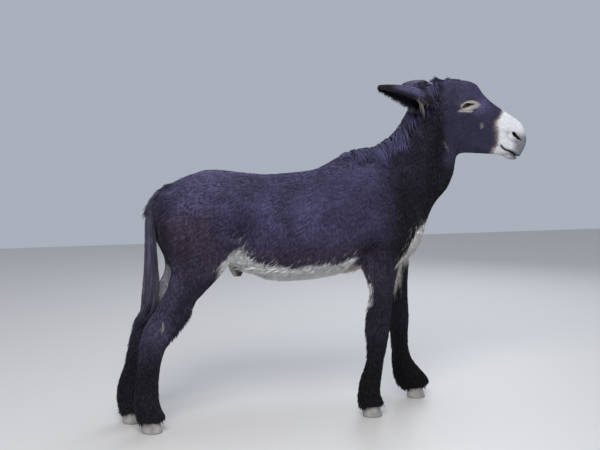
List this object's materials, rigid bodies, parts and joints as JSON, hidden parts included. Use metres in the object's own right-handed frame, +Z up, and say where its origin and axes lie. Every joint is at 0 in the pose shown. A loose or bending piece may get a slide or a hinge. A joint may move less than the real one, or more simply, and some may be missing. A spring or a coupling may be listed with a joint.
{
  "type": "donkey",
  "caption": "Life-size standing donkey with a dark coat and a pale muzzle and belly, its head held out level and turned a little to the right, its left foreleg ahead.",
  "frame": {"origin": "middle of the bounding box, on the ground under the hooves", "axes": "+X towards the nose, along the length; +Y towards the left side; +Z up"},
  "size_m": [2.1406, 0.551, 1.764],
  "materials": {
    "coat": "short dense winter coat, brown-black with a blue sheen, white on belly, chest and muzzle",
    "ear": "short dark hair outside, longer paler hair inside",
    "long_hair": "coarse long dark hair in locks",
    "sheath_skin": "thin dark skin",
    "hoof": "dry grey-tan horn, finely ridged and dusty",
    "eye": "wet dark brown eye"
  },
  "bodies": {
    "root": {"head": "coat", "neck": "coat", "hind_right_upper_leg": "coat", "hind_right_lower_leg": "coat", "hind_right_hoof": "hoof", "hind_left_upper_leg": "coat", "hind_left_lower_leg": "coat", "hind_left_hoof": "hoof", "fore_right_upper_leg": "coat", "fore_right_lower_leg": "coat", "fore_right_hoof": "hoof", "fore_left_upper_leg": "coat", "fore_left_lower_leg": "coat", "fore_left_hoof": "hoof", "trunk": "coat", "sheath": "sheath_skin", "tail": "long_hair", "ear_right": "ear", "ear_left": "ear", "mane": "long_hair", "forelock": "long_hair", "eye_right": "eye", "eye_left": "eye"}
  },
  "joints": []
}
